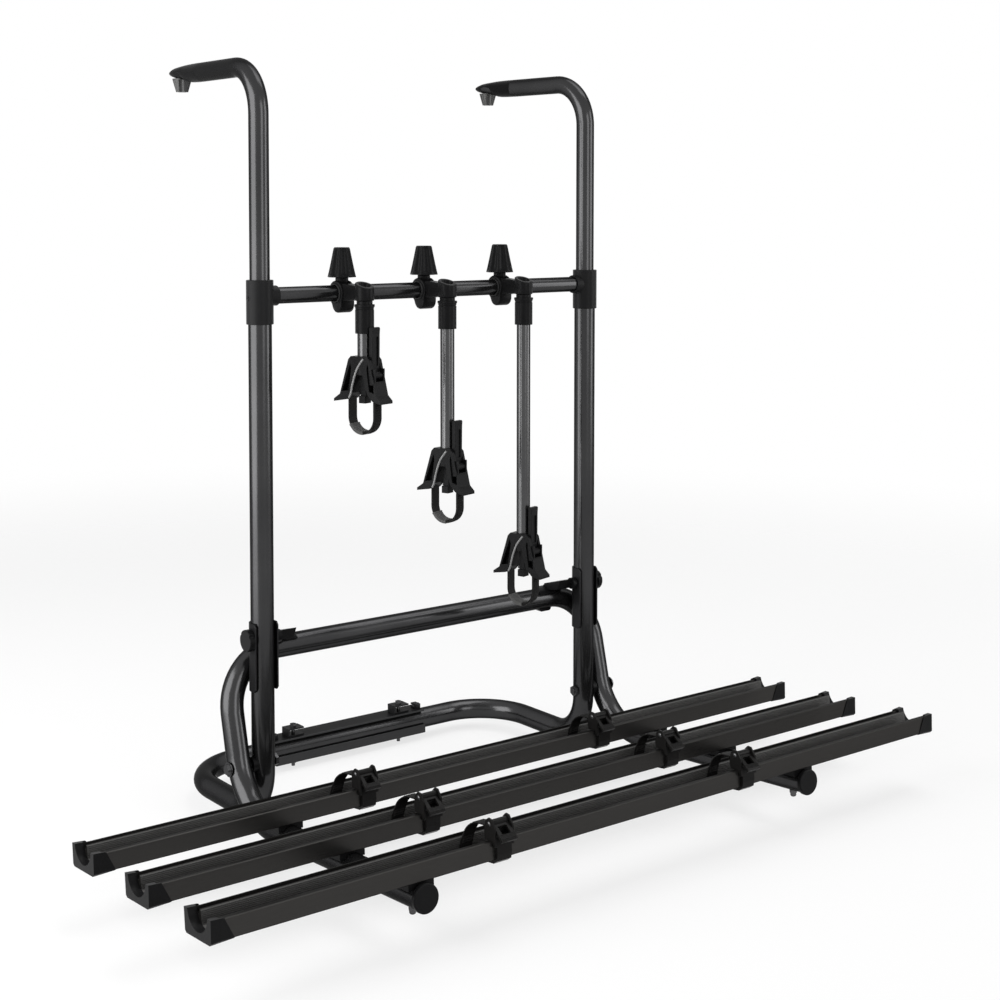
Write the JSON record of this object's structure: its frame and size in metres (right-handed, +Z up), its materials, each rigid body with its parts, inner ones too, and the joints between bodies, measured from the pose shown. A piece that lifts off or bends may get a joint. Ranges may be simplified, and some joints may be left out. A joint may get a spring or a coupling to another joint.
{
  "type": "motorhome bike carrier",
  "caption": "Rear-wall bicycle carrier: a bent tube frame with telescopic hooks, a fold-up platform with ribbed wheel rails and ratchet straps, and clamping frame holders on hanging arms.",
  "frame": {"origin": "middle of the lower wall profile's back face, on the vehicle wall's surface", "axes": "+X along the rails to the right seen from behind the vehicle, +Y towards the vehicle wall, +Z up"},
  "size_m": [1.3144, 0.772, 1.1726],
  "materials": {
    "frame_tube": "satin grey coating",
    "holder_tube": "satin grey coating",
    "moulded_joint": "fine moulded grain",
    "black_plastic": "fine moulded grain",
    "buckle_plastic": "fine moulded grain",
    "liner_plastic": "smooth",
    "strap_rubber": "matte with fine teeth",
    "rail_metal": "satin anodised",
    "profile_metal": "satin grey coating",
    "bracket_metal": "satin grey coating",
    "bolt_steel": "dark zinc plate"
  },
  "bodies": {
    "frame": {"lower_frame_tube": "frame_tube", "sleeves": "moulded_joint", "crossbar": "frame_tube", "sleeve_screws": "bolt_steel", "wall_profile": "profile_metal", "wall_clips": "bracket_metal", "wall_bolts": "bolt_steel", "post_brackets": "bracket_metal", "pivot_bolts": "bolt_steel", "pivot_spacers": "black_plastic"},
    "platform": {"platform_tube": "frame_tube", "arm_end_caps": "black_plastic", "bar_pad": "black_plastic", "rail_end_caps": "black_plastic", "rail_saddles": "black_plastic", "rail_bolts": "bolt_steel", "rear_rail": "rail_metal", "middle_rail": "rail_metal", "front_rail": "rail_metal", "rear_wheel_straps": "strap_rubber", "middle_wheel_straps": "strap_rubber", "front_wheel_straps": "strap_rubber", "strap_buckles": "buckle_plastic"},
    "latch_left": {"left_latch_lever": "black_plastic"},
    "hook_left": {"left_hook_tube": "frame_tube"},
    "hook_grip_left": {"left_hook_knob": "black_plastic"},
    "latch_right": {"right_latch_lever": "black_plastic"},
    "hook_right": {"right_hook_tube": "frame_tube"},
    "hook_grip_right": {"right_hook_knob": "black_plastic"},
    "rear_left_ratchet": {"rear_left_strap_lever": "buckle_plastic"},
    "rear_right_ratchet": {"rear_right_strap_lever": "buckle_plastic"},
    "middle_left_ratchet": {"middle_left_strap_lever": "buckle_plastic"},
    "middle_right_ratchet": {"middle_right_strap_lever": "buckle_plastic"},
    "front_left_ratchet": {"front_left_strap_lever": "buckle_plastic"},
    "front_right_ratchet": {"front_right_strap_lever": "buckle_plastic"},
    "holder_1_bush": {"holder_1_liner": "liner_plastic"},
    "holder_1_clamp_body": {"holder_1_clamp": "black_plastic"},
    "holder_1_grip": {"holder_1_knob": "black_plastic"},
    "holder_1_drop": {"holder_1_arm": "holder_tube", "holder_1_collar": "black_plastic", "holder_1_jaw": "black_plastic", "holder_1_strap": "strap_rubber"},
    "holder_1_ratchet": {"holder_1_lever": "black_plastic"},
    "holder_2_bush": {"holder_2_liner": "liner_plastic"},
    "holder_2_clamp_body": {"holder_2_clamp": "black_plastic"},
    "holder_2_grip": {"holder_2_knob": "black_plastic"},
    "holder_2_drop": {"holder_2_arm": "holder_tube", "holder_2_collar": "black_plastic", "holder_2_jaw": "black_plastic", "holder_2_strap": "strap_rubber"},
    "holder_2_ratchet": {"holder_2_lever": "black_plastic"},
    "holder_3_bush": {"holder_3_liner": "liner_plastic"},
    "holder_3_clamp_body": {"holder_3_clamp": "black_plastic"},
    "holder_3_grip": {"holder_3_knob": "black_plastic"},
    "holder_3_drop": {"holder_3_arm": "holder_tube", "holder_3_collar": "black_plastic", "holder_3_jaw": "black_plastic", "holder_3_strap": "strap_rubber"},
    "holder_3_ratchet": {"holder_3_lever": "black_plastic"}
  },
  "joints": [
    {"name": "platform_fold", "type": "hinge", "parent": "frame", "child": "platform", "pos_m": [0, -0.2825, 0.085], "axis": [-1, 0, 0], "range_deg": [0, 60]},
    {"name": "left_latch_turn", "type": "hinge", "parent": "frame", "child": "latch_left", "pos_m": [-0.3155, -0.2825, 0.273], "axis": [1, 0, 0], "range_deg": [0, 100]},
    {"name": "left_hook_slide", "type": "slide", "parent": "frame", "child": "hook_left", "axis": [0, 0, 1], "range_m": [-0.2, 0.16]},
    {"name": "left_hook_knob_spin", "type": "hinge", "parent": "hook_left", "child": "hook_grip_left", "pos_m": [-0.30556, -0.02369, 1.11], "axis": [0, 0, 1], "continuous": true},
    {"name": "right_latch_turn", "type": "hinge", "parent": "frame", "child": "latch_right", "pos_m": [0.3155, -0.2825, 0.273], "axis": [1, 0, 0], "range_deg": [0, 100]},
    {"name": "right_hook_slide", "type": "slide", "parent": "frame", "child": "hook_right", "axis": [0, 0, 1], "range_m": [-0.2, 0.16]},
    {"name": "right_hook_knob_spin", "type": "hinge", "parent": "hook_right", "child": "hook_grip_right", "pos_m": [0.30556, -0.02369, 1.11], "axis": [0, 0, 1], "continuous": true},
    {"name": "rear_left_ratchet_turn", "type": "hinge", "parent": "platform", "child": "rear_left_ratchet", "pos_m": [-0.228, -0.42462, 0.08923], "axis": [-1, 0, 0], "range_deg": [0, 100]},
    {"name": "rear_right_ratchet_turn", "type": "hinge", "parent": "platform", "child": "rear_right_ratchet", "pos_m": [0.228, -0.42462, 0.08923], "axis": [-1, 0, 0], "range_deg": [0, 100]},
    {"name": "middle_left_ratchet_turn", "type": "hinge", "parent": "platform", "child": "middle_left_ratchet", "pos_m": [-0.228, -0.58529, 0.09945], "axis": [-1, 0, 0], "range_deg": [0, 100]},
    {"name": "middle_right_ratchet_turn", "type": "hinge", "parent": "platform", "child": "middle_right_ratchet", "pos_m": [0.228, -0.58529, 0.09945], "axis": [-1, 0, 0], "range_deg": [0, 100]},
    {"name": "front_left_ratchet_turn", "type": "hinge", "parent": "platform", "child": "front_left_ratchet", "pos_m": [-0.228, -0.74597, 0.10967], "axis": [-1, 0, 0], "range_deg": [0, 100]},
    {"name": "front_right_ratchet_turn", "type": "hinge", "parent": "platform", "child": "front_right_ratchet", "pos_m": [0.228, -0.74597, 0.10967], "axis": [-1, 0, 0], "range_deg": [0, 100]},
    {"name": "holder_1_slide", "type": "slide", "parent": "frame", "child": "holder_1_bush", "axis": [1, 0, 0], "range_m": [-0.04, 0.04]},
    {"name": "holder_1_swing", "type": "hinge", "parent": "holder_1_bush", "child": "holder_1_clamp_body", "pos_m": [-0.1724, -0.2825, 0.785], "axis": [1, 0, 0], "range_deg": [-110, 15]},
    {"name": "holder_1_knob_spin", "type": "hinge", "parent": "holder_1_clamp_body", "child": "holder_1_grip", "pos_m": [-0.1724, -0.2825, 0.83], "axis": [0, 0, 1], "continuous": true},
    {"name": "holder_1_swivel", "type": "hinge", "parent": "holder_1_clamp_body", "child": "holder_1_drop", "pos_m": [-0.1724, -0.3455, 0.755], "axis": [0, 0, 1], "continuous": true},
    {"name": "holder_1_ratchet_turn", "type": "hinge", "parent": "holder_1_drop", "child": "holder_1_ratchet", "pos_m": [-0.16618, -0.36764, 0.665], "axis": [-0.9627, -0.2706, 0], "range_deg": [-100, 0]},
    {"name": "holder_2_slide", "type": "slide", "parent": "frame", "child": "holder_2_bush", "axis": [1, 0, 0], "range_m": [-0.04, 0.04]},
    {"name": "holder_2_swing", "type": "hinge", "parent": "holder_2_bush", "child": "holder_2_clamp_body", "pos_m": [-0.0192, -0.2825, 0.785], "axis": [1, 0, 0], "range_deg": [-110, 15]},
    {"name": "holder_2_knob_spin", "type": "hinge", "parent": "holder_2_clamp_body", "child": "holder_2_grip", "pos_m": [-0.0192, -0.2825, 0.83], "axis": [0, 0, 1], "continuous": true},
    {"name": "holder_2_swivel", "type": "hinge", "parent": "holder_2_clamp_body", "child": "holder_2_drop", "pos_m": [-0.0192, -0.3455, 0.755], "axis": [0, 0, 1], "continuous": true},
    {"name": "holder_2_ratchet_turn", "type": "hinge", "parent": "holder_2_drop", "child": "holder_2_ratchet", "pos_m": [-0.01298, -0.36764, 0.513], "axis": [-0.9627, -0.2706, 0], "range_deg": [-100, 0]},
    {"name": "holder_3_slide", "type": "slide", "parent": "frame", "child": "holder_3_bush", "axis": [1, 0, 0], "range_m": [-0.04, 0.04]},
    {"name": "holder_3_swing", "type": "hinge", "parent": "holder_3_bush", "child": "holder_3_clamp_body", "pos_m": [0.1324, -0.2825, 0.785], "axis": [1, 0, 0], "range_deg": [-110, 15]},
    {"name": "holder_3_knob_spin", "type": "hinge", "parent": "holder_3_clamp_body", "child": "holder_3_grip", "pos_m": [0.1324, -0.2825, 0.83], "axis": [0, 0, 1], "continuous": true},
    {"name": "holder_3_swivel", "type": "hinge", "parent": "holder_3_clamp_body", "child": "holder_3_drop", "pos_m": [0.1324, -0.3455, 0.755], "axis": [0, 0, 1], "continuous": true},
    {"name": "holder_3_ratchet_turn", "type": "hinge", "parent": "holder_3_drop", "child": "holder_3_ratchet", "pos_m": [0.13862, -0.36764, 0.361], "axis": [-0.9627, -0.2706, 0], "range_deg": [-100, 0]}
  ]
}
